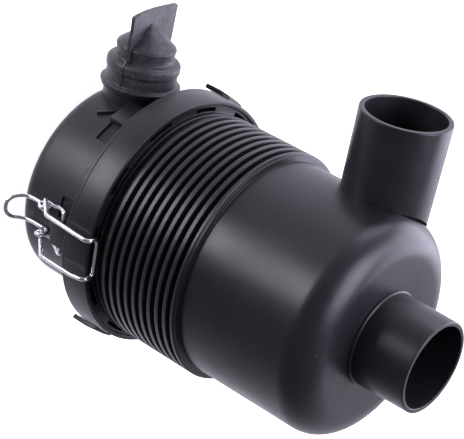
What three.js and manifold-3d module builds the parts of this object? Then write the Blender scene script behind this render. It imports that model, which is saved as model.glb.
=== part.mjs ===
// Two-stage air cleaner housing for a small diesel engine: ribbed plastic body with a tangential
// inlet and an axial outlet, a removable dust cover held by two wire toggle latches, a rubber
// dust valve, and the primary and safety filter elements inside.
// Units are millimetres. The housing stands on the flat end of its cover: the main axis is +Z,
// the inlet mouth faces +X, and the origin is the centre of the cover's end face.
import * as THREE from 'three';
import { mergeVertices } from 'three/addons/utils/BufferGeometryUtils.js';
import Module from 'manifold-3d';

const wasm = await Module();
wasm.setup();

// ---- driving dimensions ----
const TURN = 2 * Math.PI;
const FINE = 56;
const MEDIUM = 36;
const COARSE = 24;
const GAP = 0.3;

// body
const WALL = 2.6;
const BARREL_R = 77.4;
const RIB_CREST_R = 82.6;
const RIB_VALLEY_R = 78;
const RIB_COUNT = 10;
const RIB_FIRST_Z = 96.2;
const RIB_PITCH = 6.88;
const RIB_HALF = 1.75;
const END_RIB_Z = 160.8;
const DOME_START_Z = 241.5;
const DOME_Z = 262.2;
const DOME_FLAT_R = 55;
const BAND_REAR_Z = 67.6;
const BAND_R = 90.8;
const BAND_FRONT_R = 89.7;
const LIP_Z = 86.8;
const LEDGE_Z = 85.2;
const LEDGE_BACK_Z = 82.4;
const LIP_INNER_R = 86.6;
const RING_R = 81.2;
const RING_Z = 88.8;
const SLOT_COUNT = 12;
const SLOT_FIRST = -4;
const SLOT_R = [81.8, 84.8];
const SLOT_LENGTH = 20.5;
const LUG_ANGLES = [-32, 149.5];
const LUG = { width: 19.6, r: 93.8, frontR: 92.6, z0: 54, slopeZ: 66, z1: 76 };

// ports
const OUTLET = { r: 31.75, bore: 28.6, mouth: 303.5, rootR: 32.4, sleeveZ: 238 };
const INLET = { r: 30.75, bore: 27.1, mouth: 131.4, rootR: 29.9, y: -33.9, z: 219.7 };

// cover
const CUP_R = 73.5;
const CUP_BORE = 70;
const CUP_FILLET = 12;
const CUP_REAR_Z = 5.3;
const PAD_R = 52;
const FLANGE_R = 90.3;
const FLANGE_Z = [65, 67.3];
const SLEEVE_R = [77.6, 80.3];
const SLEEVE_Z = 79.8;
const POCKET_R = 72;
const POCKET_Z = [41.6, 64];
const POCKETS = [[28, 42], [77, 108], [208, 222], [257, 288]];
const BLOCK = { angle: 21.5, width: 21.4, r: 76.6, z0: 39.8 };
const FIN = { angle: 25.8, width: 1.8, r: 75.6, z: 33.2, length: 15, tilt: 39.5 };
const TAB = { angles: [62, 242], width: 14.6, r0: 84, z0: 63.4 };
const NECK = { z: 29.3, r: 19.2, bore: 16.2, end: 97, collarR: 24.5, collarX: 79, seatR: 26.6, seatX: 80.9 };

// latches: u runs around the housing, z along it, r away from its axis
const LATCH_ANGLES = [92.6, 272.6];
const WIRE_R = 1.5;
const WIRE_SIDES = 6;
const PIVOT = { z: 54.3, r: 81.2 };
const CRANK = { z: 33, r: 78.1 };
const COIL_R = 3.3;
const BOSS = { half: 9, top: 85.2, z0: 47 };
const PIN_HOLE_R = 1.85;

// valve, measured from the main axis along +X
const VALVE = { flangeR: 27.6, flange: 81.3, bodyR: 24.4, beadR: 25.4, bead: 96.4, neckR: 20.6 };
const VALVE_CONE_TIP = 125;
// free lip outline: [across the valve, along its axis]
const BLADE = [[-28.4, 103], [23.2, 103], [22.4, 124], [22.6, 132.8], [20, 134.2], [9, 135.4], [-3, 135.6],
  [-25, 134.7], [-28.6, 133.4], [-29, 132]];
const BLADE_THICK = 2.6;
const BLADE_TWIST = 9;

// ---- solid helpers ----
function solidFrom(geometry) {
  const plain = geometry.index ? geometry.toNonIndexed() : geometry.clone();
  plain.deleteAttribute('normal');
  plain.deleteAttribute('uv');
  const merged = mergeVertices(plain, 1e-4);
  const index = merged.index.array;
  const triangles = [];
  for (let i = 0; i < index.length; i += 3) {
    const [a, b, c] = [index[i], index[i + 1], index[i + 2]];
    if (a !== b && b !== c && c !== a) {
      triangles.push(a, b, c);
    }
  }
  return new wasm.Manifold(new wasm.Mesh({
    numProp: 3,
    vertProperties: new Float32Array(merged.attributes.position.array),
    triVerts: new Uint32Array(triangles),
  }));
}

function geometryFrom(solid) {
  const mesh = solid.getMesh();
  const geometry = new THREE.BufferGeometry();
  geometry.setAttribute('position', new THREE.BufferAttribute(mesh.vertProperties, 3));
  geometry.setIndex(new THREE.BufferAttribute(mesh.triVerts, 1));
  geometry.computeVertexNormals();
  return geometry;
}

// Turns a closed [radius, height] outline, listed anticlockwise, about the main axis.
function turned(outline, segments) {
  const points = outline.map(([r, z]) => new THREE.Vector2(r, z));
  const onAxis = outline[0][0] === 0;
  if (!onAxis) {
    points.push(points[0].clone());
  }
  return solidFrom(new THREE.LatheGeometry(points, segments).rotateX(Math.PI / 2));
}

// The same, about a line parallel to +X, with heights measured from the main axis.
function turnedX(outline, segments, y, z) {
  return turned(outline, segments).rotate([0, 90, 0]).translate([0, y, z]);
}

function ring(r0, r1, z0, z1, segments) {
  return turned([[r0, z0], [r1, z0], [r1, z1], [r0, z1]], segments);
}

function rod(r, z0, z1, segments) {
  return turned([[0, z0], [r, z0], [r, z1], [0, z1]], segments);
}

// A block centred on one angle: radial from r0 to r1, as wide as given, from z0 to z1.
function radialBlock(angle, width, r0, r1, z0, z1) {
  const box = new THREE.BoxGeometry(r1 - r0, width, z1 - z0);
  box.translate((r0 + r1) / 2, 0, (z0 + z1) / 2);
  return solidFrom(box).rotate([0, 0, angle]);
}

// Quarter-round corner points between two directions, centred on [r, z].
function arc(r, z, radius, from, to, steps) {
  const points = [];
  for (let i = 0; i <= steps; i += 1) {
    const a = THREE.MathUtils.degToRad(from + (to - from) * i / steps);
    points.push([r + radius * Math.cos(a), z + radius * Math.sin(a)]);
  }
  return points;
}

const housing = new THREE.Group();
housing.name = 'air_cleaner_housing';

const finishes = {
  plastic: { color: 0x2b2b2e, roughness: 0.42, metalness: 0 },
  cover: { color: 0x2d2d30, roughness: 0.45, metalness: 0 },
  rubber: { color: 0x222224, roughness: 0.7, metalness: 0 },
  wire: { color: 0xc9ccd0, roughness: 0.25, metalness: 1 },
  paper: { color: 0xd8c48a, roughness: 0.9, metalness: 0 },
  urethane: { color: 0x3a3f46, roughness: 0.75, metalness: 0 },
  steel: { color: 0x9a9da1, roughness: 0.4, metalness: 1 },
  fleece: { color: 0xc9cdd2, roughness: 0.95, metalness: 0 },
};

function addPart(name, geometry, finish) {
  const mesh = new THREE.Mesh(geometry, new THREE.MeshStandardMaterial(finishes[finish]));
  mesh.name = name;
  housing.add(mesh);
}

function addSolid(name, solid, finish) {
  addPart(name, geometryFrom(solid), finish);
}

// ---- body shell ----
function ribOutline() {
  const points = [[RING_R, LEDGE_Z], [RING_R, RING_Z - 0.6], [RING_R - 0.6, RING_Z]];
  points.push([RING_R - 1.8, RING_Z + 0.2], [RIB_VALLEY_R, RING_Z + 1]);
  for (let i = 0; i < RIB_COUNT; i += 1) {
    const z = RIB_FIRST_Z + RIB_PITCH * i;
    const last = i === RIB_COUNT - 1;
    const front = last ? END_RIB_Z - 0.5 : z + RIB_HALF;
    points.push([RIB_VALLEY_R, z - RIB_HALF - 0.15], [RIB_CREST_R, z - RIB_HALF + 0.35]);
    points.push([RIB_CREST_R, front - 0.35]);
    points.push([last ? BARREL_R : RIB_VALLEY_R, front + (last ? 0.5 : 0.15)]);
  }
  return points;
}

function domeOutline() {
  const depth = DOME_Z - DOME_START_Z;
  const points = [];
  for (let i = 0; i <= 7; i += 1) {
    const a = (Math.PI / 2) * i / 7;
    points.push([DOME_FLAT_R + (BARREL_R - DOME_FLAT_R) * Math.cos(a), DOME_START_Z + depth * Math.sin(a)]);
  }
  return points;
}

function insideDome(points) {
  const inner = [];
  for (const [r, z] of points) {
    inner.push([DOME_FLAT_R + (r - DOME_FLAT_R) * 0.885, DOME_START_Z + (z - DOME_START_Z) * 0.872]);
  }
  return inner.reverse();
}

function bodyShell() {
  const dome = domeOutline();
  const innerR = RIB_VALLEY_R - WALL;
  const outline = [
    [BAND_R - WALL, BAND_REAR_Z], [BAND_R - 0.4, BAND_REAR_Z], [BAND_R, BAND_REAR_Z + 0.4],
    [BAND_FRONT_R, LIP_Z - 0.8], [BAND_FRONT_R - 0.6, LIP_Z],
    [LIP_INNER_R, LIP_Z], [LIP_INNER_R, LEDGE_Z],
    ...ribOutline(), ...dome, [OUTLET.r + 0.5, DOME_Z], [OUTLET.r + 0.5, DOME_Z - WALL],
    ...insideDome(dome), [BARREL_R - WALL, END_RIB_Z + 2], [innerR, END_RIB_Z - 2],
    [innerR, LEDGE_BACK_Z], [BAND_R - WALL, LEDGE_BACK_Z],
  ];
  let shell = turned(outline, FINE);
  for (let i = 0; i < SLOT_COUNT; i += 1) {
    const angle = SLOT_FIRST + 360 * i / SLOT_COUNT;
    shell = shell.subtract(radialBlock(angle, SLOT_LENGTH, SLOT_R[0], SLOT_R[1], LEDGE_BACK_Z - 1, LEDGE_Z + 1));
  }
  const rootZ = BAND_REAR_Z + 0.5;
  const lugRing = turned([
    [FLANGE_R + GAP, LUG.z0], [LUG.r, LUG.z0], [LUG.r, LUG.slopeZ], [LUG.frontR, LUG.z1],
    [BAND_FRONT_R - 1, LUG.z1], [BAND_FRONT_R - 1, rootZ], [FLANGE_R + GAP, rootZ],
  ], FINE);
  for (const angle of LUG_ANGLES) {
    const sector = radialBlock(angle, LUG.width, BAND_R - 15, BAND_R + 15, LUG.z0 - 1, LUG.z1 + 1);
    shell = shell.add(lugRing.intersect(sector));
  }
  const port = turnedX([[0, 40], [INLET.bore, 40], [INLET.bore, 90], [0, 90]], MEDIUM, INLET.y, INLET.z);
  return shell.subtract(port);
}

// ---- ports ----
function outletSpigot() {
  const base = DOME_Z + GAP;
  return turned([
    [OUTLET.bore, OUTLET.sleeveZ], [OUTLET.r - 0.6, OUTLET.sleeveZ], [OUTLET.r, OUTLET.sleeveZ + 0.6],
    [OUTLET.r, base], [OUTLET.rootR + 1.2, base], [OUTLET.rootR + 1.2, base + 1.2],
    [OUTLET.rootR, base + 2], [OUTLET.r, OUTLET.mouth - 0.5], [OUTLET.r - 0.5, OUTLET.mouth],
    [OUTLET.bore + 0.5, OUTLET.mouth], [OUTLET.bore, OUTLET.mouth - 0.5],
  ], MEDIUM);
}

function inletSpigot() {
  const tube = turnedX([
    [INLET.bore, 38], [INLET.rootR, 38], [INLET.r, INLET.mouth - 0.5], [INLET.r - 0.5, INLET.mouth],
    [INLET.bore + 0.5, INLET.mouth], [INLET.bore, INLET.mouth - 0.5],
  ], MEDIUM, INLET.y, INLET.z);
  return tube.subtract(rod(BARREL_R + GAP, INLET.z - 60, INLET.z + 60, FINE));
}

// ---- cover ----
function coverShell() {
  const outline = [
    [0, 0], [PAD_R - 1.2, 0], [PAD_R, 1.2], [PAD_R + 0.6, CUP_REAR_Z - 0.8], [PAD_R + 1.6, CUP_REAR_Z],
    ...arc(CUP_R - CUP_FILLET, CUP_REAR_Z + CUP_FILLET, CUP_FILLET, -90, 0, 6),
    [CUP_R, FLANGE_Z[0] - 2.4], [CUP_R + 1, FLANGE_Z[0] - 0.7], [CUP_R + 2.4, FLANGE_Z[0]],
    [FLANGE_R, FLANGE_Z[0]], [FLANGE_R, FLANGE_Z[1]], [SLEEVE_R[1], FLANGE_Z[1]],
    [SLEEVE_R[1], SLEEVE_Z], [SLEEVE_R[0], SLEEVE_Z], [SLEEVE_R[0], FLANGE_Z[1]], [CUP_BORE, FLANGE_Z[1]],
    ...arc(CUP_BORE - 9, CUP_REAR_Z + 12, 9, 0, -90, 4),
    [PAD_R - 1, CUP_REAR_Z + 3], [PAD_R - 3, 3], [0, 3],
  ];
  return turned(outline, FINE);
}

function cover() {
  const inside = rod(CUP_BORE, 3.4, FLANGE_Z[1], FINE);
  let shell = coverShell();
  for (const [from, to] of POCKETS) {
    const middle = (from + to) / 2;
    const width = 2 * POCKET_R * Math.sin(THREE.MathUtils.degToRad((to - from) / 2));
    const curved = radialBlock(middle, width, POCKET_R - 8, CUP_R + 1, POCKET_Z[0], POCKET_Z[1]);
    shell = shell.subtract(curved.subtract(rod(POCKET_R, POCKET_Z[0] - 1, POCKET_Z[1] + 1, FINE)));
  }
  for (const angle of LATCH_ANGLES) {
    const boss = radialBlock(angle, 2 * BOSS.half, CUP_BORE - 4, BOSS.top, BOSS.z0, FLANGE_Z[0] + 0.5);
    shell = shell.add(boss.subtract(inside));
    for (const side of [-1, 1]) {
      const hole = turned([[0, 0], [PIN_HOLE_R, 0], [PIN_HOLE_R, 6], [0, 6]], 16);
      const u = side > 0 ? BOSS.half - 3.4 : -BOSS.half - 2.6;
      shell = shell.subtract(hole.rotate([-90, 0, 0]).translate([PIVOT.r, u, PIVOT.z]).rotate([0, 0, angle]));
    }
  }
  const flangeTop = FLANGE_Z[0] + 0.5;
  const block = radialBlock(BLOCK.angle, BLOCK.width, CUP_BORE - 4, BLOCK.r, BLOCK.z0, flangeTop);
  const fin = radialBlock(0, FIN.width, CUP_BORE - 4, FIN.r, -FIN.length / 2, FIN.length / 2)
    .rotate([FIN.tilt, 0, 0]).translate([0, 0, FIN.z]).rotate([0, 0, FIN.angle]);
  shell = shell.add(block.add(fin).subtract(inside));
  for (const angle of TAB.angles) {
    const tab = radialBlock(angle, TAB.width, TAB.r0, FLANGE_R + 1, TAB.z0, flangeTop);
    shell = shell.add(tab.intersect(rod(FLANGE_R, TAB.z0 - 1, flangeTop + 1, FINE)));
  }
  const neck = turnedX([
    [0, 55], [NECK.collarR, 55], [NECK.collarR, NECK.collarX], [NECK.seatR, NECK.collarX],
    [NECK.seatR, NECK.seatX], [NECK.r, NECK.seatX], [NECK.r, NECK.end - 1],
    [NECK.r - 1, NECK.end], [0, NECK.end],
  ], MEDIUM, 0, NECK.z);
  shell = shell.add(neck.subtract(inside));
  const passage = [[0, 50], [NECK.bore, 50], [NECK.bore, NECK.end + 1], [0, NECK.end + 1]];
  return shell.subtract(turnedX(passage, MEDIUM, 0, NECK.z));
}

function dustBaffle() {
  const tub = turned([
    [0, 70], [60, 70], [60, 46], [62, 46], [62, 72], [0, 72],
  ], MEDIUM);
  return tub.subtract(radialBlock(0, 34, 50, 66, 44, 60));
}

// ---- dust valve ----
function dustValve() {
  const v = VALVE;
  const skirt = turnedX([
    [0, v.flange], [v.flangeR - 0.8, v.flange], [v.flangeR, v.flange + 0.8], [v.flangeR - 0.3, v.flange + 2],
    [v.bodyR, v.flange + 2.8], [v.bodyR - 0.4, v.bead - 5], [v.beadR - 0.5, v.bead - 3.6],
    [v.beadR, v.bead - 1], [v.beadR - 0.8, v.bead + 2.2], [v.beadR - 3, v.bead + 3.8],
    [v.neckR - 0.9, v.bead + 4.6], [v.neckR - 0.4, v.bead + 8], [v.neckR, v.bead + 12.4],
    [v.neckR - 1.4, v.bead + 14], [1.5, VALVE_CONE_TIP], [0, VALVE_CONE_TIP],
  ], MEDIUM, 0, 0);
  const profile = new THREE.Shape(BLADE.map(([across, along]) => new THREE.Vector2(-across, along)));
  const plate = new THREE.ExtrudeGeometry(profile, { depth: BLADE_THICK, bevelEnabled: false });
  plate.translate(0, 0, -BLADE_THICK / 2).rotateZ(-Math.PI / 2);
  const blade = solidFrom(plate).rotate([BLADE_TWIST, 0, 0]);
  const bore = turnedX([
    [0, 70], [NECK.r + GAP, 70], [NECK.r + GAP, NECK.end + GAP], [NECK.r - 2, v.bead + 10],
    [0, v.bead + 20],
  ], MEDIUM, 0, 0);
  return skirt.add(blade).subtract(bore).translate([0, 0, NECK.z]);
}

// ---- wire latches ----
// Points are [u, z, r]; corners are rounded with the given radius.
function roundedPath(points, radii) {
  const path = new THREE.CurvePath();
  const corners = points.map(([u, z, r]) => new THREE.Vector3(r, u, z));
  let start = corners[0];
  for (let i = 1; i < corners.length - 1; i += 1) {
    const toPrevious = corners[i - 1].clone().sub(corners[i]);
    const toNext = corners[i + 1].clone().sub(corners[i]);
    const cut = Math.min(radii[i - 1], toPrevious.length() * 0.49, toNext.length() * 0.49);
    const enter = corners[i].clone().add(toPrevious.setLength(cut));
    const leave = corners[i].clone().add(toNext.setLength(cut));
    path.add(new THREE.LineCurve3(start, enter));
    path.add(new THREE.QuadraticBezierCurve3(enter, corners[i], leave));
    start = leave;
  }
  path.add(new THREE.LineCurve3(start, corners[corners.length - 1]));
  return path;
}

function wire(path, steps, angle) {
  const section = new THREE.Shape();
  section.absarc(0, 0, WIRE_R, 0, TURN, false);
  const geometry = new THREE.ExtrudeGeometry(section, {
    steps,
    extrudePath: path,
    curveSegments: WIRE_SIDES / 2,
  });
  return geometry.rotateZ(THREE.MathUtils.degToRad(angle));
}

function bail(angle) {
  const half = 15.5;
  const side = [
    [14, 89.3, 84.6], [14.2, 89.6, 93.4], [15, 79, 94.4], [half, 49.8, 93.4], [half, CRANK.z, CRANK.r],
  ];
  const points = [[-6.4, CRANK.z, CRANK.r]];
  const mirrored = side.slice().reverse().map(([u, z, r]) => [-u, z, r]);
  points.push(...mirrored, ...side, [6.4, CRANK.z, CRANK.r]);
  return wire(roundedPath(points, [1.6, 6, 8, 5, 4.5, 4.5, 5, 8, 6, 1.6]), 84, angle);
}

function coilPoints(side, fromU, toU) {
  const points = [];
  for (let i = 1; i < 12; i += 1) {
    const a = TURN * i / 12;
    const u = side * (fromU + (toU - fromU) * i / 12);
    points.push([u, CRANK.z - COIL_R * Math.sin(a), CRANK.r - COIL_R * Math.cos(a)]);
  }
  return points;
}

function handle(angle) {
  const low = CRANK.r - COIL_R;
  const legs = {};
  for (const side of [-1, 1]) {
    legs[side] = [
      [side * 6.2, PIVOT.z, PIVOT.r], [side * 15, PIVOT.z, PIVOT.r], [side * 14.6, 46, low + 2.2],
      [side * 12, 39, low + 0.2], [side * 11.9, CRANK.z, low],
      ...coilPoints(side, 11.9, 8.7),
      [side * 8.7, CRANK.z, low], [side * 8.6, 16, low + 0.6], [side * 8.5, 11.5, low + 3.2],
      [side * 7.2, 8, 84], [side * 3.4, 6.2, 87.2],
    ];
  }
  const points = [...legs[-1], ...legs[1].slice().reverse()];
  const curve = new THREE.CatmullRomCurve3(
    points.map(([u, z, r]) => new THREE.Vector3(r, u, z)), false, 'centripetal');
  return wire(curve, 132, angle);
}

// ---- filter elements ----
function primaryElement() {
  return {
    primary_media: [ring(38, 58, 88, 236, COARSE), 'paper'],
    primary_outer_screen: [ring(58.3, 59.3, 88, 236, COARSE), 'steel'],
    primary_inner_core: [ring(36.6, 37.7, 88, 236, COARSE), 'steel'],
    primary_open_end_cap: [turned([
      [OUTLET.r + GAP, 236.3], [61, 236.3], [61, 242], [44, 246], [40, 250], [OUTLET.r + GAP, 250],
    ], COARSE), 'urethane'],
    primary_closed_end_cap: [turned([
      [0, 78], [14, 78], [16, 80.5], [61, 80.5], [61, 87.7], [0, 87.7],
    ], COARSE), 'urethane'],
  };
}

function safetyElement() {
  return {
    safety_media: [ring(22.2, 29.6, 96.3, 234, COARSE), 'fleece'],
    safety_core: [ring(20.8, 21.9, 96.3, 234, COARSE), 'steel'],
    safety_open_end_cap: [turned([
      [19, 234.3], [29.8, 234.3], [29.8, 237], [28.2, 238], [28.2, 249], [19, 249],
    ], COARSE), 'urethane'],
    safety_closed_end_cap: [rod(29.8, 91, 96, COARSE), 'urethane'],
  };
}

// ---- assembly ----
addSolid('body_shell', bodyShell(), 'plastic');
addSolid('inlet_spigot', inletSpigot(), 'plastic');
addSolid('outlet_spigot', outletSpigot(), 'plastic');
addSolid('cover', cover(), 'cover');
addSolid('cover_seal', ring(76, 81, 80.1, 82.1, MEDIUM), 'rubber');
addSolid('dust_baffle', dustBaffle(), 'plastic');
addSolid('dust_valve', dustValve(), 'rubber');
LATCH_ANGLES.forEach((angle, i) => {
  addPart(`latch_${i + 1}_handle`, handle(angle), 'wire');
  addPart(`latch_${i + 1}_bail`, bail(angle), 'wire');
});
for (const [name, [solid, finish]] of Object.entries({ ...primaryElement(), ...safetyElement() })) {
  addSolid(name, solid, finish);
}

export default housing;
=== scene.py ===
import math

import bmesh
import bpy
from mathutils import Matrix, Vector


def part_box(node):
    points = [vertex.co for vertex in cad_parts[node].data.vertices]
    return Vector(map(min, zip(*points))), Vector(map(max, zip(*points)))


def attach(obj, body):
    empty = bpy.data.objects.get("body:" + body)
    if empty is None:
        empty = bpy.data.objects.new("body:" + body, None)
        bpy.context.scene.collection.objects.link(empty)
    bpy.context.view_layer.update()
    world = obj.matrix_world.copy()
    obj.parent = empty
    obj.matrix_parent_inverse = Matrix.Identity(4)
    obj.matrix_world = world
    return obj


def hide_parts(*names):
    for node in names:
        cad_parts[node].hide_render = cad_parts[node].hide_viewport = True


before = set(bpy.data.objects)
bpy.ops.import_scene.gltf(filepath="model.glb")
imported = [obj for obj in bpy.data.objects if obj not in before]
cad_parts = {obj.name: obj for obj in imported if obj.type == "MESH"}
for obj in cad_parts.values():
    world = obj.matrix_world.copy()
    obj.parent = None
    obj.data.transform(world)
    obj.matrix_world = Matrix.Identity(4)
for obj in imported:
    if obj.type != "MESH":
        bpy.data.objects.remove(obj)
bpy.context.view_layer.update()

MM = 0.001
ROUND = 224
ARC_STEPS = 4

# ---- places taken from the frame, in millimetres ----
inlet_low, inlet_high = (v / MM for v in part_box("inlet_spigot"))
valve_low, valve_high = (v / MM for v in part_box("dust_valve"))
BASE_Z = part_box("cover")[0].z / MM
INLET_Y = (inlet_low.y + inlet_high.y) / 2
INLET_Z = (inlet_low.z + inlet_high.z) / 2
INLET_MOUTH = inlet_high.x
OUTLET_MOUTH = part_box("outlet_spigot")[1].z / MM
VALVE_Z = (valve_low.z + valve_high.z) / 2

# ---- driving dimensions, in millimetres and degrees ----
BARREL_R = 77.4
DOME_START_Z, DOME_Z, DOME_FLAT_R = 241.5, 262.2, 55
INNER_DOME = (19.8, 18.1)
WALL = 2.6
BAND_REAR_Z, LEDGE_Z, LIP_Z = 67.6, 85.2, 86.8
RIB_CREST_R, RIB_VALLEY_R = 82.6, 77.8
RIB_COUNT, RIB_FIRST_Z, RIB_PITCH = 10, 96.2, 6.88
SLOT_COUNT, SLOT_FIRST, SLOT_SPAN = 12, -4, 13.8
LUG_ANGLES, LUG_SPAN = (-32, 149.5), 12
INLET_R, INLET_ROOT_R, INLET_BORE = 30.75, 29.9, 27.1
OUTLET_R, OUTLET_BORE, OUTLET_SLEEVE_Z = 31.75, 28.6, 238

CUP_INSIDE_R = 70.3
POCKETS = ((28, 42), (77, 108), (208, 222), (257, 288))
BLOCK_ANGLE = 21.5
FIN_ANGLE, FIN_TILT, FIN_Z = 25.8, 39.5, 33.2
TAB_ANGLES, TAB_SPAN = (62, 242), 9.2
NECK_R, NECK_BORE = 19.2, 16.2
LIP_TILT = 9

LATCH_ANGLES = (92.6, 272.6)
PIVOT_Z, PIVOT_R = 54.3, 81.2
CRANK_Z, CRANK_R = 33.0, 78.1
PIN_HOLE_R = 1.85
COIL_R = 3.3
WIRE_R = 1.45


# ---- mesh helpers ----
def link(name, mesh):
    obj = bpy.data.objects.new(name, mesh)
    bpy.context.scene.collection.objects.link(obj)
    return obj


def rounded(points, radius=0.5, special=None, closed=True, steps=None):
    """A polygon with its corners rounded; special gives other radii by corner index."""
    steps = steps or ARC_STEPS
    special = special or {}
    out = []
    count = len(points)
    for i, p in enumerate(points):
        if not closed and i in (0, count - 1):
            out.append(Vector(p))
            continue
        here = Vector(p)
        before = Vector(points[i - 1]) - here
        after = Vector(points[(i + 1) % count]) - here
        r = special.get(i, radius)
        if r <= 0 or before.length < 1e-6 or after.length < 1e-6:
            out.append(here)
            continue
        angle = before.angle(after)
        if angle > math.pi - 0.02:
            out.append(here)
            continue
        cut = min(r / math.tan(angle / 2), before.length * 0.48, after.length * 0.48)
        start = here + before.normalized() * cut
        end = here + after.normalized() * cut
        for k in range(steps + 1):
            t = k / steps
            out.append(start * (1 - t) ** 2 + here * 2 * t * (1 - t) + end * t * t)
    return out


def lathe(name, outline, segments=None):
    """A closed solid turned about Z from an outline of (radius, height) in millimetres."""
    segments = segments or ROUND
    bm = bmesh.new()
    rings = []
    for r, z in outline:
        if r < 1e-4:
            rings.append([bm.verts.new((0, 0, z * MM))])
            continue
        rings.append([
            bm.verts.new((r * math.cos(math.tau * k / segments) * MM,
                          r * math.sin(math.tau * k / segments) * MM, z * MM))
            for k in range(segments)])
    pairs = list(zip(rings, rings[1:]))
    if len(rings[0]) > 1 or len(rings[-1]) > 1:
        pairs.append((rings[-1], rings[0]))
    for a, b in pairs:
        for k in range(segments):
            n = (k + 1) % segments
            if len(a) == 1 and len(b) == 1:
                continue
            if len(a) == 1:
                bm.faces.new((a[0], b[n], b[k]))
            elif len(b) == 1:
                bm.faces.new((a[k], a[n], b[0]))
            else:
                bm.faces.new((a[k], a[n], b[n], b[k]))
    bmesh.ops.recalc_face_normals(bm, faces=bm.faces)
    mesh = bpy.data.meshes.new(name)
    bm.to_mesh(mesh)
    bm.free()
    return link(name, mesh)


def along_x(obj, y=0.0, z=0.0):
    """Turns a solid made about Z so that it lies along +X, at the given y and z."""
    obj.data.transform(Matrix.Translation((0, y * MM, z * MM)) @ Matrix.Rotation(math.pi / 2, 4, "Y"))
    return obj


def turned_to(obj, angle):
    obj.data.transform(Matrix.Rotation(math.radians(angle), 4, "Z"))
    return obj


def block(name, x, y, z, bevel, segments=2):
    """A block between the given (low, high) pairs, with bevelled edges."""
    bm = bmesh.new()
    bmesh.ops.create_cube(bm, size=1)
    for v in bm.verts:
        v.co.x = (x[0] if v.co.x < 0 else x[1]) * MM
        v.co.y = (y[0] if v.co.y < 0 else y[1]) * MM
        v.co.z = (z[0] if v.co.z < 0 else z[1]) * MM
    bmesh.ops.bevel(bm, geom=bm.edges[:], offset=bevel * MM, segments=segments, profile=0.5, affect="EDGES")
    mesh = bpy.data.meshes.new(name)
    bm.to_mesh(mesh)
    bm.free()
    return link(name, mesh)


def sector(name, outline, angle, span, bevel=0.5, steps=10):
    """A curved block with the given (radius, height) outline, centred on an angle, edges bevelled."""
    bm = bmesh.new()
    loops = []
    for k in range(steps + 1):
        a = math.radians(angle - span / 2 + span * k / steps)
        c, s = math.cos(a), math.sin(a)
        loops.append([bm.verts.new((r * c * MM, r * s * MM, z * MM)) for r, z in outline])
    count = len(outline)
    for a, b in zip(loops, loops[1:]):
        for k in range(count):
            n = (k + 1) % count
            bm.faces.new((a[k], b[k], b[n], a[n]))
    bm.faces.new(loops[0])
    bm.faces.new(loops[-1][::-1])
    bmesh.ops.recalc_face_normals(bm, faces=bm.faces)
    if bevel > 0:
        sharp = [e for e in bm.edges if e.is_manifold and e.calc_face_angle() > 0.7]
        bmesh.ops.bevel(bm, geom=sharp, offset=bevel * MM, segments=2, profile=0.5, affect="EDGES")
    mesh = bpy.data.meshes.new(name)
    bm.to_mesh(mesh)
    bm.free()
    return link(name, mesh)


def square(r0, r1, z0, z1):
    """The outline of a plain ring section."""
    return [(r0, z0), (r1, z0), (r1, z1), (r0, z1)]


def plate(name, outline, thickness):
    """A flat plate in the XY plane from an outline of (x, y) in millimetres."""
    bm = bmesh.new()
    layers = [[bm.verts.new((x * MM, y * MM, side * thickness / 2 * MM)) for x, y in outline]
              for side in (-1, 1)]
    bm.faces.new(layers[0][::-1])
    bm.faces.new(layers[1])
    for k in range(len(outline)):
        n = (k + 1) % len(outline)
        bm.faces.new((layers[0][k], layers[0][n], layers[1][n], layers[1][k]))
    bmesh.ops.recalc_face_normals(bm, faces=bm.faces)
    mesh = bpy.data.meshes.new(name)
    bm.to_mesh(mesh)
    bm.free()
    return link(name, mesh)


def combine(obj, other, operation):
    """Joins or cuts obj with another solid, which is used up."""
    mod = obj.modifiers.new("bool", "BOOLEAN")
    mod.operation = operation
    mod.solver = "EXACT"
    mod.object = other
    graph = bpy.context.evaluated_depsgraph_get()
    mesh = bpy.data.meshes.new_from_object(obj.evaluated_get(graph))
    obj.modifiers.clear()
    old = obj.data
    obj.data = mesh
    bpy.data.meshes.remove(old)
    bpy.data.objects.remove(other)
    return obj


def shade(obj, angle=32):
    obj.data.shade_smooth()
    obj.data.set_sharp_from_angle(angle=math.radians(angle))
    return obj


def place(obj, body, nodes, material):
    """Gives a finished piece its material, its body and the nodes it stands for."""
    obj.data.materials.clear()
    obj.data.materials.append(material)
    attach(obj, body)
    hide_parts(*nodes)
    return obj


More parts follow.
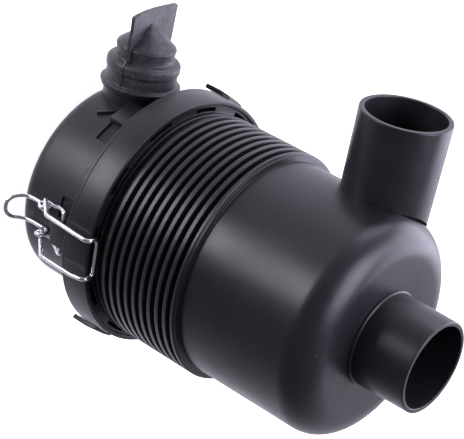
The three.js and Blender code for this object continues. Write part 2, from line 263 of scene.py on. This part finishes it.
# ---- materials ----
class Nodes:
    """A small builder for one node material."""

    def __init__(self, name):
        self.material = bpy.data.materials.new(name)
        self.material.use_nodes = True
        self.tree = self.material.node_tree
        self.tree.nodes.clear()
        self.output = self.tree.nodes.new("ShaderNodeOutputMaterial")
        self.shader = self.tree.nodes.new("ShaderNodeBsdfPrincipled")
        self.tree.links.new(self.shader.outputs[0], self.output.inputs["Surface"])
        self.coords = self.tree.nodes.new("ShaderNodeTexCoord").outputs["Object"]

    def add(self, kind):
        return self.tree.nodes.new(kind)

    def join(self, source, target):
        self.tree.links.new(source, target)

    def scaled(self, x, y, z):
        node = self.add("ShaderNodeMapping")
        node.inputs["Scale"].default_value = (x, y, z)
        self.join(self.coords, node.inputs["Vector"])
        return node.outputs["Vector"]

    def noise(self, scale, detail=3.0, rough=0.55, vector=None):
        node = self.add("ShaderNodeTexNoise")
        node.inputs["Scale"].default_value = scale
        node.inputs["Detail"].default_value = detail
        node.inputs["Roughness"].default_value = rough
        self.join(vector or self.coords, node.inputs["Vector"])
        return node.outputs["Fac"]

    def cells(self, scale):
        node = self.add("ShaderNodeTexVoronoi")
        node.inputs["Scale"].default_value = scale
        self.join(self.coords, node.inputs["Vector"])
        return node.outputs["Distance"]

    def ranged(self, value, low, high, to_low=0.0, to_high=1.0):
        node = self.add("ShaderNodeMapRange")
        node.clamp = True
        for key, number in (("From Min", low), ("From Max", high), ("To Min", to_low), ("To Max", to_high)):
            node.inputs[key].default_value = number
        self.join(value, node.inputs["Value"])
        return node.outputs["Result"]

    def maths(self, operation, a, b):
        node = self.add("ShaderNodeMath")
        node.operation = operation
        for socket, value in ((node.inputs[0], a), (node.inputs[1], b)):
            if isinstance(value, (int, float)):
                socket.default_value = value
            else:
                self.join(value, socket)
        return node.outputs[0]

    def mixed(self, factor, a, b):
        node = self.add("ShaderNodeMix")
        node.data_type = "RGBA"
        for socket, value in ((node.inputs[0], factor), (node.inputs[6], a), (node.inputs[7], b)):
            if isinstance(value, (tuple, list)):
                socket.default_value = (*value[:3], 1.0)
            elif isinstance(value, (int, float)):
                socket.default_value = value
            else:
                self.join(value, socket)
        return node.outputs[2]

    def bump(self, height, distance, strength=1.0, normal=None):
        node = self.add("ShaderNodeBump")
        node.inputs["Distance"].default_value = distance
        node.inputs["Strength"].default_value = strength
        self.join(height, node.inputs["Height"])
        if normal:
            self.join(normal, node.inputs["Normal"])
        return node.outputs["Normal"]

    def edge_round(self, radius):
        node = self.add("ShaderNodeBevel")
        node.samples = 4
        node.inputs["Radius"].default_value = radius
        return node.outputs["Normal"]

    def set(self, **sockets):
        for key, value in sockets.items():
            socket = self.shader.inputs[key.replace("_", " ")]
            if isinstance(value, (int, float)):
                socket.default_value = value
            elif isinstance(value, (tuple, list)):
                socket.default_value = (*value[:3], 1.0)
            else:
                self.join(value, socket)
        return self.material


def moulded_plastic(name, tone, rough, scratch=0.35):
    n = Nodes(name)
    cloud = n.noise(14, 4, 0.6)
    fine = n.noise(1400, 2, 0.6)
    dark = tuple(c * 0.8 for c in tone)
    light = tuple(c * 1.22 for c in tone)
    colour = n.mixed(n.ranged(cloud, 0.3, 0.7), dark, light)
    streaks = n.noise(60, 3, 0.7, n.scaled(1, 1, 14))
    scratches = n.ranged(streaks, 0.68, 0.74)
    specks = n.ranged(n.cells(210), 0.0, 0.10, 1.0, 0.0)
    rare = n.ranged(n.noise(35, 2), 0.6, 0.66)
    dust = n.maths("MULTIPLY", specks, rare)
    colour = n.mixed(n.maths("MULTIPLY", scratches, 0.12 * scratch), colour, (0.25, 0.25, 0.27))
    colour = n.mixed(n.maths("MULTIPLY", dust, 0.4), colour, (0.35, 0.35, 0.36))
    roughness = n.ranged(n.noise(32, 5, 0.65), 0.25, 0.75, rough - 0.06, rough + 0.09)
    roughness = n.maths("ADD", roughness, n.maths("MULTIPLY", scratches, 0.12 * scratch))
    normal = n.bump(fine, 0.00004, 1.0, n.edge_round(0.0004))
    normal = n.bump(n.noise(26, 2, 0.4), 0.00035, 0.5, normal)
    return n.set(Base_Color=colour, Roughness=roughness, Normal=normal, IOR=1.5, Specular_IOR_Level=0.5)


def moulded_rubber(name, tone):
    n = Nodes(name)
    cloud = n.noise(45, 5, 0.65)
    dusty = n.ranged(n.noise(330, 4, 0.75), 0.48, 0.7)
    colour = n.mixed(n.ranged(cloud, 0.3, 0.7), tuple(c * 0.75 for c in tone), tuple(c * 1.3 for c in tone))
    colour = n.mixed(n.maths("MULTIPLY", dusty, 0.2), colour, (0.3, 0.29, 0.28))
    specks = n.ranged(n.cells(420), 0.0, 0.13, 1.0, 0.0)
    specks = n.maths("MULTIPLY", specks, n.ranged(n.noise(90, 2), 0.58, 0.66))
    colour = n.mixed(n.maths("MULTIPLY", specks, 0.5), colour, (0.45, 0.44, 0.43))
    roughness = n.ranged(n.noise(70, 4), 0.3, 0.7, 0.34, 0.5)
    normal = n.bump(n.noise(900, 3, 0.7), 0.00012, 1.0, n.edge_round(0.0004))
    return n.set(Base_Color=colour, Roughness=roughness, Normal=normal, IOR=1.5, Specular_IOR_Level=0.5)


def zinc_wire(name):
    n = Nodes(name)
    cloud = n.noise(180, 4, 0.6)
    colour = n.mixed(n.ranged(cloud, 0.35, 0.65), (0.82, 0.83, 0.85), (0.96, 0.96, 0.97))
    pits = n.ranged(n.noise(900, 3, 0.7), 0.66, 0.74)
    colour = n.mixed(n.maths("MULTIPLY", pits, 0.35), colour, (0.3, 0.29, 0.28))
    roughness = n.ranged(n.noise(320, 4), 0.3, 0.7, 0.14, 0.28)
    normal = n.bump(n.noise(700, 2), 0.00002)
    return n.set(Base_Color=colour, Roughness=roughness, Normal=normal, Metallic=1.0)


def perforated_steel(name):
    n = Nodes(name)
    base = n.mixed(n.ranged(n.noise(60, 4), 0.3, 0.7), (0.38, 0.39, 0.4), (0.55, 0.56, 0.58))
    roughness = n.ranged(n.noise(90, 4), 0.3, 0.7, 0.3, 0.5)
    # the holes are painted as dark brown dots: painted shade of the paper seen through them
    hole_shade_dots = n.ranged(n.cells(260), 0.28, 0.33, 1.0, 0.0)
    base = n.mixed(hole_shade_dots, base, (0.02, 0.016, 0.01))
    return n.set(Base_Color=base, Roughness=roughness, Metallic=0.85,
                 Normal=n.bump(n.noise(300, 3), 0.00003))


def soft_fill(name, tone, scale):
    n = Nodes(name)
    folds = n.noise(scale, 5, 0.7, n.scaled(1, 1, 0.15))
    # the dips of the folds are coloured darker than their crests: painted shade in the pleats, from the
    # same noise as the bump
    base = n.mixed(n.ranged(folds, 0.3, 0.7), tuple(c * 0.6 for c in tone), tone)
    return n.set(Base_Color=base, Roughness=n.ranged(folds, 0.3, 0.7, 0.8, 0.95),
                 Normal=n.bump(folds, 0.0004))


PLASTIC = moulded_plastic("body_plastic", (0.014, 0.014, 0.0175), 0.34)
COVER_PLASTIC = moulded_plastic("cover_plastic", (0.016, 0.016, 0.0195), 0.39, scratch=0.2)
BAFFLE_PLASTIC = moulded_plastic("baffle_plastic", (0.03, 0.03, 0.032), 0.45)
RUBBER = moulded_rubber("valve_rubber", (0.032, 0.032, 0.038))
SEAL_RUBBER = moulded_rubber("seal_rubber", (0.022, 0.022, 0.023))
WIRE = zinc_wire("zinc_wire")
SHEET = perforated_steel("perforated_sheet")
URETHANE = moulded_rubber("end_cap_urethane", (0.05, 0.055, 0.07))
PAPER = soft_fill("pleated_paper", (0.68, 0.56, 0.3), 700)
FLEECE = soft_fill("safety_fleece", (0.62, 0.64, 0.66), 500)


# ---- body shell ----
def body_outline():
    """The body's section, up its outside and down its inside."""
    points = [(88.2, BAND_REAR_Z), (90.8, BAND_REAR_Z), (89.7, LIP_Z), (86.6, LIP_Z), (86.6, LEDGE_Z),
              (81.2, LEDGE_Z), (81.2, 88.8), (79.4, 89.2), (RIB_VALLEY_R, 90.2)]
    radii = {0: 0.4, 1: 0.6, 2: 0.8, 3: 0.9, 4: 0.3, 5: 0.3, 6: 1.3, 7: 0.6, 8: 0.5}
    for i in range(RIB_COUNT):
        z = RIB_FIRST_Z + RIB_PITCH * i
        at = len(points)
        radii.update({at: 0.4, at + 1: 0.35, at + 2: 0.35, at + 3: 0.4})
        points += [(RIB_VALLEY_R, z - 2.0), (RIB_CREST_R, z - 1.6)]
        if i < RIB_COUNT - 1:
            points += [(RIB_CREST_R, z + 1.5), (RIB_VALLEY_R, z + 1.9)]
        else:
            points += [(RIB_CREST_R, z + 0.5), (81.2, z + 0.9), (81.2, z + 2.2), (77.7, z + 2.5)]
    dome = len(points)
    for k in range(0, 25):
        a = math.pi / 2 * k / 24
        points.append((DOME_FLAT_R + (BARREL_R - DOME_FLAT_R) * math.cos(a),
                       DOME_START_Z + (DOME_Z - DOME_START_Z) * math.sin(a)))
        radii[dome + k] = 0
    hole_r = OUTLET_R + 0.5
    points += [(hole_r, DOME_Z), (hole_r, DOME_Z - WALL)]
    for k in range(12, -1, -1):
        a = math.pi / 2 * k / 12
        points.append((DOME_FLAT_R + INNER_DOME[0] * math.cos(a),
                       DOME_START_Z + INNER_DOME[1] * math.sin(a)))
    points += [(74.8, 161), (74.4, 157), (74.4, 82.4), (88.2, 82.4)]
    return rounded(points, 0.3, radii)


def dome_height(r):
    """The height of the dome's outside at a distance from the axis."""
    if r < DOME_FLAT_R:
        return DOME_Z
    reach = (r - DOME_FLAT_R) / (BARREL_R - DOME_FLAT_R)
    return DOME_START_Z + (DOME_Z - DOME_START_Z) * math.sqrt(1 - reach ** 2)


def flow_line():
    """The faint raised line that the plastic left on the dome beside the outlet."""
    path = [(35.0, 83.6), (39.9, 84.3), (48.3, 84.7), (55.0, 85.3), (61.0, 85.6), (66.0, 85.2),
            (70.5, 83.6)]
    bm = bmesh.new()
    rings = []
    for k, (r, phi) in enumerate(path):
        width = 0.16 if 0 < k < len(path) - 1 else 0.05
        a = math.radians(phi)
        along = Vector((math.cos(a), math.sin(a), 0))
        across = Vector((-math.sin(a), math.cos(a), 0))
        middle = along * r + Vector((0, 0, dome_height(r)))
        rings.append([bm.verts.new((middle + across * u * width * 2 + Vector((0, 0, w * width))) * MM)
                      for u, w in ((-1, -2), (1, -2), (0.5, 0.8), (-0.5, 0.8))])
    for a, b in zip(rings, rings[1:]):
        for k in range(4):
            bm.faces.new((a[k], b[k], b[(k + 1) % 4], a[(k + 1) % 4]))
    bm.faces.new(rings[0])
    bm.faces.new(rings[-1][::-1])
    bmesh.ops.recalc_face_normals(bm, faces=bm.faces)
    mesh = bpy.data.meshes.new("flow_line")
    bm.to_mesh(mesh)
    bm.free()
    return link("flow_line", mesh)


def body_shell():
    shell = lathe("body_shell_visual", body_outline())
    for k in range(SLOT_COUNT):
        angle = SLOT_FIRST + 360 / SLOT_COUNT * k
        cutter = sector("slot", square(81.8, 84.8, 81, 87), angle, SLOT_SPAN, bevel=0, steps=8)
        combine(shell, cutter, "DIFFERENCE")
    outline = [(90.6, 54), (93.8, 54), (93.8, 66), (92.6, 76), (88.7, 76), (88.7, 68.1), (90.6, 68.1)]
    for angle in LUG_ANGLES:
        combine(shell, sector("lug", outline, angle, LUG_SPAN, bevel=0.3), "UNION")
    hole = lathe("hole", [(0, 40), (INLET_BORE, 40), (INLET_BORE, 92), (0, 92)], 96)
    along_x(hole, INLET_Y, INLET_Z)
    combine(shell, hole, "DIFFERENCE")
    combine(shell, flow_line(), "UNION")
    return place(shade(shell), "housing", ["body_shell"], PLASTIC)


# ---- ports ----
def inlet_spigot():
    outline = rounded([(INLET_BORE, 38), (INLET_ROOT_R, 38), (INLET_R, INLET_MOUTH),
                       (INLET_BORE, INLET_MOUTH)], 0.1, {2: 1.1, 3: 0.9}, steps=5)
    tube = along_x(lathe("inlet_spigot_visual", outline, ROUND // 2), INLET_Y, INLET_Z)
    cut_r = BARREL_R + 0.02
    barrel = lathe("barrel", [(0, 150), (cut_r, 150), (cut_r, 290), (0, 290)], ROUND)
    combine(tube, barrel, "DIFFERENCE")
    return place(shade(tube), "housing", ["inlet_spigot"], PLASTIC)


def outlet_spigot():
    base = DOME_Z - 0.3
    outline = rounded([(OUTLET_BORE, OUTLET_SLEEVE_Z), (OUTLET_R, OUTLET_SLEEVE_Z), (OUTLET_R, base),
                       (33.4, base), (33.4, base + 1.3), (32.4, base + 2.2), (OUTLET_R, OUTLET_MOUTH),
                       (OUTLET_BORE, OUTLET_MOUTH)],
                      0.3, {0: 0.5, 1: 0.8, 4: 0.5, 5: 0.8, 6: 1.1, 7: 0.9}, steps=5)
    tube = lathe("outlet_spigot_visual", outline, ROUND)
    return place(shade(tube), "housing", ["outlet_spigot"], PLASTIC)


# ---- cover ----
def cover_outline():
    """The cover's section, up its outside and down its inside."""
    points = [(0, 0), (52, 0), (52.8, 5.3), (73.5, 5.3), (73.5, 65.0), (90.3, 65.0), (90.3, 67.3),
              (80.3, 67.3), (80.3, 79.8), (77.6, 79.8), (77.6, 67.3), (70, 67.3), (70, 8.4), (51, 8.3),
              (49, 3), (0, 3)]
    radii = {0: 0, 1: 1.6, 2: 1.2, 3: 12, 4: 2.2, 5: 0.5, 6: 0.4, 11: 0.5, 12: 9, 13: 1, 14: 1, 15: 0}
    return [(p[0], p[1] + BASE_Z) for p in rounded(points, 0.3, radii, steps=ARC_STEPS * 2)]


def diagonal_fin():
    """The thin slanting rib that runs up to the raised block."""
    fin = block("fin", (CUP_INSIDE_R, 75.6), (-0.9, 0.9), (-7.5, 7.5), 0.4)
    tilt = Matrix.Rotation(math.radians(FIN_TILT), 4, "X")
    fin.data.transform(Matrix.Translation((0, 0, FIN_Z * MM)) @ tilt)
    return turned_to(fin, FIN_ANGLE)


def latch_boss(angle):
    """The block that a latch hangs on, with a blind hole for each end of the handle wire."""
    boss = block("boss", (CUP_INSIDE_R, 85.2), (-9, 9), (47, 65.4), 0.9, segments=3)
    for side in (-1, 1):
        pin = lathe("pin_hole", [(0, 5.6), (PIN_HOLE_R, 5.6), (PIN_HOLE_R, 12), (0, 12)], 32)
        pin.data.transform(Matrix.Rotation(-side * math.pi / 2, 4, "X"))
        pin.data.transform(Matrix.Translation((PIVOT_R * MM, 0, PIVOT_Z * MM)))
        combine(boss, pin, "DIFFERENCE")
    return turned_to(boss, angle)


def cover():
    shell = lathe("cover_visual", cover_outline())
    for low, high in POCKETS:
        cutter = sector("pocket", square(72, 78, 41.6, 64.4), (low + high) / 2, high - low, bevel=0.35)
        combine(shell, cutter, "DIFFERENCE")
    raised = block("block", (CUP_INSIDE_R, 76.6), (-10.7, 10.7), (39.8, 65.4), 0.7)
    extras = [turned_to(raised, BLOCK_ANGLE), diagonal_fin()]
    extras += [sector("tab", square(84, 90.3, 63.4, 65.5), angle, TAB_SPAN, 0.35) for angle in TAB_ANGLES]
    extras += [latch_boss(angle) for angle in LATCH_ANGLES]
    collar = rounded([(0, 52), (24.5, 52), (24.5, 79), (26.6, 79), (26.6, 80.9), (NECK_R, 80.9),
                      (NECK_R, 97), (0, 97)], 0.4, {0: 0, 1: 0, 2: 0.8, 7: 0})
    extras.append(along_x(lathe("neck", collar, ROUND // 2), 0, VALVE_Z))
    for extra in extras:
        combine(shell, extra, "UNION")
    hollow = lathe("hollow", [(0, 8.4), (61, 8.4), (69.9, 17), (69.9, 66), (0, 66)], ROUND)
    combine(shell, hollow, "DIFFERENCE")
    passage = lathe("passage", [(0, 45), (NECK_BORE, 45), (NECK_BORE, 99), (0, 99)], 64)
    combine(shell, along_x(passage, 0, VALVE_Z), "DIFFERENCE")
    return place(shade(shell), "housing", ["cover"], COVER_PLASTIC)


# ---- dust valve ----
def valve_skirt():
    """The valve's turned part: flange, bead, waist and cone."""
    points = [(0, 81.4), (27.6, 81.4), (27.6, 83.0), (24.6, 84.2), (24.3, 91.6), (25.4, 93.2), (25.4, 98.2),
              (23.6, 100.0), (19.8, 100.9), (19.8, 104), (20.7, 109.0), (19.9, 110.3), (1.4, 125.0),
              (0, 125.0)]
    radii = {0: 0, 2: 0.6, 3: 1.2, 4: 1.0, 5: 2.2, 6: 2.2, 7: 2.0, 8: 1.2, 12: 0.8, 13: 0}
    return along_x(lathe("dust_valve_visual", rounded(points, 0.5, radii), 144))


def valve_blade():
    """The flattened lips, their thicker free edge and the mould seam down both sides."""
    lips = rounded([(99.3, 18.4), (99.1, -18.1), (103, -28.0), (109, -28.6), (132.4, -29.0), (134.3, -27.4),
                    (135.0, -14), (135.5, -3), (135.3, 8), (134.4, 17), (133.4, 22.4), (131.4, 22.9),
                    (124, 22.2), (112, 22.7), (103, 23.2)], 1.0)
    edge = rounded([(130.6, -27.4), (132.4, -29.0), (134.3, -27.4), (135.0, -14), (135.5, -3), (135.3, 8),
                    (134.4, 17), (133.4, 22.4), (131.6, 22.7), (132.4, 16), (133.4, 7), (133.6, -3),
                    (133.1, -14)], 0.4)
    seam = [(82.2, 20), (82.2, 25.0), (84.6, 25.4), (91.4, 25.2), (93.6, 26.2), (98, 26.2), (100.6, 24.0),
            (103, 23.2), (108, 20), (108, 15), (84, 15)]
    far_seam = [(x, -y) for x, y in seam]
    return [plate("lips", lips, 2.2), plate("edge", edge, 2.6), plate("seam", seam, 1.3),
            plate("far_seam", far_seam, 1.3)]


def dust_valve():
    valve = valve_skirt()
    for piece in valve_blade():
        piece.data.transform(Matrix.Rotation(math.radians(LIP_TILT), 4, "X"))
        combine(valve, piece, "UNION")
    bore = [(0, 75), (19.5, 75), (19.5, 97.3), (17.2, 104), (0, 114)]
    combine(valve, along_x(lathe("bore", bore, 64)), "DIFFERENCE")
    valve.data.transform(Matrix.Translation((0, 0, VALVE_Z * MM)))
    return place(shade(valve, 38), "housing", ["dust_valve"], RUBBER)


# ---- wire latches ----
def wire(name, points, angle):
    """A round wire along points of (u, z, r): around the housing, along it and away from its axis."""
    curve = bpy.data.curves.new(name, "CURVE")
    curve.dimensions = "3D"
    curve.bevel_depth = WIRE_R * MM
    curve.bevel_resolution = 5
    curve.use_fill_caps = True
    line = curve.splines.new("POLY")
    line.points.add(len(points) - 1)
    turn = Matrix.Rotation(math.radians(angle), 4, "Z")
    for p, (u, z, r) in zip(line.points, points):
        p.co = (*(turn @ Vector((r * MM, u * MM, z * MM))), 1)
    return link(name, curve)


def bail(index, angle):
    """The loop that hangs in the handle's coils and hooks over the band's lip."""
    side = [(14, 89.3, 84.6), (14.2, 89.6, 93.2), (15, 79, 94.2), (15.5, 49.8, 93.2),
            (15.5, CRANK_Z, CRANK_R)]
    points = [(-6.4, CRANK_Z, CRANK_R)] + [(-u, z, r) for u, z, r in reversed(side)] + side
    points.append((6.4, CRANK_Z, CRANK_R))
    radii = {1: 1.8, 2: 6, 3: 8, 4: 4.5, 5: 4.5, 6: 4.5, 7: 4.5, 8: 8, 9: 6, 10: 1.8}
    path = rounded(points, 4, radii, closed=False, steps=10)
    obj = wire(f"latch_{index}_bail_visual", path, angle)
    return place(obj, f"latch_{index}_bail", [f"latch_{index}_bail"], WIRE)


def catmull(points, steps):
    """Points along a centripetal spline through all the given points."""
    pts = [Vector(p) for p in points]
    pts = [pts[0] * 2 - pts[1]] + pts + [pts[-1] * 2 - pts[-2]]
    out = []
    for i in range(1, len(pts) - 2):
        p = pts[i - 1:i + 3]
        t = [0.0]
        for a, b in zip(p, p[1:]):
            t.append(t[-1] + max((b - a).length, 1e-6) ** 0.5)
        for k in range(steps):
            s = t[1] + (t[2] - t[1]) * k / steps
            a1 = p[0] * ((t[1] - s) / (t[1] - t[0])) + p[1] * ((s - t[0]) / (t[1] - t[0]))
            a2 = p[1] * ((t[2] - s) / (t[2] - t[1])) + p[2] * ((s - t[1]) / (t[2] - t[1]))
            a3 = p[2] * ((t[3] - s) / (t[3] - t[2])) + p[3] * ((s - t[2]) / (t[3] - t[2]))
            b1 = a1 * ((t[2] - s) / (t[2] - t[0])) + a2 * ((s - t[0]) / (t[2] - t[0]))
            b2 = a2 * ((t[3] - s) / (t[3] - t[1])) + a3 * ((s - t[1]) / (t[3] - t[1]))
            out.append(b1 * ((t[2] - s) / (t[2] - t[1])) + b2 * ((s - t[1]) / (t[2] - t[1])))
    out.append(pts[-2])
    return out


def handle(index, angle):
    """The lever: two legs from the boss, a coil in each, meeting in the finger loop."""
    low = CRANK_R - COIL_R
    legs = {}
    for side in (-1, 1):
        coil = []
        for k in range(1, 12):
            a = math.tau * k / 12
            coil.append((side * (11.9 - 3.2 * k / 12), CRANK_Z - COIL_R * math.sin(a),
                         CRANK_R - COIL_R * math.cos(a)))
        legs[side] = [
            (side * 6.2, PIVOT_Z, PIVOT_R), (side * 15, PIVOT_Z, PIVOT_R), (side * 14.6, 46, low + 2.2),
            (side * 12, 39, low + 0.2), (side * 11.9, CRANK_Z, low), *coil, (side * 8.7, CRANK_Z, low),
            (side * 8.6, 16, low + 0.6), (side * 8.5, 11.5, low + 3.2), (side * 7.2, 8, 84),
            (side * 3.4, 6.2, 87.2)]
    path = catmull(legs[-1] + legs[1][::-1], 8)
    obj = wire(f"latch_{index}_handle_visual", path, angle)
    return place(obj, f"latch_{index}_handle", [f"latch_{index}_handle"], WIRE)


body_shell()
inlet_spigot()
outlet_spigot()
cover()
dust_valve()
for number, latch_angle in enumerate(LATCH_ANGLES, 1):
    bail(number, latch_angle)
    handle(number, latch_angle)

# the CAD nodes inside keep their shapes and get materials
inner = {
    "cover_seal": ("black_rubber", SEAL_RUBBER), "dust_baffle": ("body_plastic", BAFFLE_PLASTIC),
    "primary_media": ("filter_paper", PAPER), "primary_outer_screen": ("perforated_steel", SHEET),
    "primary_inner_core": ("perforated_steel", SHEET), "primary_open_end_cap": ("urethane", URETHANE),
    "primary_closed_end_cap": ("urethane", URETHANE), "safety_media": ("safety_fleece", FLEECE),
    "safety_core": ("perforated_steel", SHEET), "safety_open_end_cap": ("urethane", URETHANE),
    "safety_closed_end_cap": ("urethane", URETHANE),
}
for node, (slot_name, material) in inner.items():
    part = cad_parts[node]
    part.data.materials.clear()
    part.data.materials.append(material)

# ---- floor, light and camera ----
# the floor glows evenly, so that it stays pale, and leaves the lighting of the piece alone
floor_mesh = bpy.data.meshes.new("floor")
bm = bmesh.new()
bmesh.ops.create_grid(bm, x_segments=2, y_segments=2, size=30)
bm.to_mesh(floor_mesh)
bm.free()
floor = link("floor", floor_mesh)
floor.location.z = BASE_Z * MM - 0.0006
floor.visible_diffuse = floor.visible_glossy = floor.visible_shadow = False
paint = Nodes("floor_paper")
paint.set(Base_Color=paint.mixed(paint.noise(3, 3), (0.80, 0.80, 0.80), (0.84, 0.84, 0.84)), Roughness=0.9,
          Specular_IOR_Level=0.0, Emission_Color=(1.0, 1.0, 1.0), Emission_Strength=0.92)
floor.data.materials.append(paint.material)

# about the middle of the piece, and the picture's right, up and towards-the-camera directions
CENTRE = Vector((0.02, 0.0, 0.15))
RIGHT = Vector((0.198, -0.632, 0.749))
UP = Vector((0.872, -0.235, -0.429))
BACK = Vector((0.447, 0.739, 0.504))

# pale surroundings: dim on the side the picture is taken from, bright behind the piece
world = bpy.data.worlds.new("studio")
bpy.context.scene.world = world
world.use_nodes = True
tree = world.node_tree
background = tree.nodes["Background"]
background.inputs["Color"].default_value = (0.86, 0.855, 1.0, 1)
way_out = tree.nodes.new("ShaderNodeTexCoord")
facing = tree.nodes.new("ShaderNodeVectorMath")
facing.operation = "DOT_PRODUCT"
facing.inputs[1].default_value = (UP * 0.5 - BACK).normalized()
glow = tree.nodes.new("ShaderNodeMapRange")
for key, number in (("From Min", -0.3), ("From Max", 0.8), ("To Min", 0.16), ("To Max", 1.5)):
    glow.inputs[key].default_value = number
tree.links.new(way_out.outputs["Generated"], facing.inputs[0])
tree.links.new(facing.outputs["Value"], glow.inputs["Value"])
tree.links.new(glow.outputs["Result"], background.inputs["Strength"])


LIGHT_DISTANCE = 1.2


def softbox(name, right, up, back, size, power, tint):
    """A square light, placed by its direction across, up and towards the camera."""
    data = bpy.data.lights.new(name, "AREA")
    data.shape = "SQUARE"
    data.size = size
    data.energy = power
    data.color = tint
    obj = bpy.data.objects.new(name, data)
    bpy.context.scene.collection.objects.link(obj)
    way = (RIGHT * right + UP * up + BACK * back).normalized()
    obj.location = CENTRE + way * LIGHT_DISTANCE
    obj.rotation_mode = "QUATERNION"
    obj.rotation_quaternion = (-way).to_track_quat("-Z", "Y")


softbox("key", 0.9, 0.1, -0.35, 1.0, 12, (0.82, 0.81, 1.0))
softbox("face", 0.75, -0.1, 0.45, 0.8, 14, (0.84, 0.83, 1.0))
softbox("stripe", -0.73, 0.48, 0.49, 0.5, 6.8, (0.94, 0.95, 1.0))
softbox("top", 0.5, 0.85, 0.1, 0.6, 4, (0.86, 0.85, 1.0))

# the camera: its place in metres, its lens in millimetres, and how far its aim leans from the middle
CAMERA_PLACE = Vector((0.4980, 0.8233, 0.7265))
LENS, SENSOR = 130.6707, 36
AIM_RIGHT, AIM_UP = -0.0199287, 0.0311038

frame_right, frame_up, frame_back = RIGHT.normalized(), UP.normalized(), BACK.normalized()
toward = (frame_right * AIM_RIGHT + frame_up * AIM_UP - frame_back).normalized()
side = toward.cross(frame_up).normalized()
above = side.cross(toward).normalized()
pose = Matrix((side, above, -toward)).transposed().to_4x4()
pose.translation = CAMERA_PLACE

cam_data = bpy.data.cameras.new("camera")
cam_data.sensor_width = SENSOR
cam_data.lens = LENS
cam_data.clip_start, cam_data.clip_end = 0.05, 100
cam = bpy.data.objects.new("camera", cam_data)
cam.matrix_world = pose
bpy.context.scene.collection.objects.link(cam)
bpy.context.scene.camera = cam
bpy.context.scene.view_settings.view_transform = "Standard"
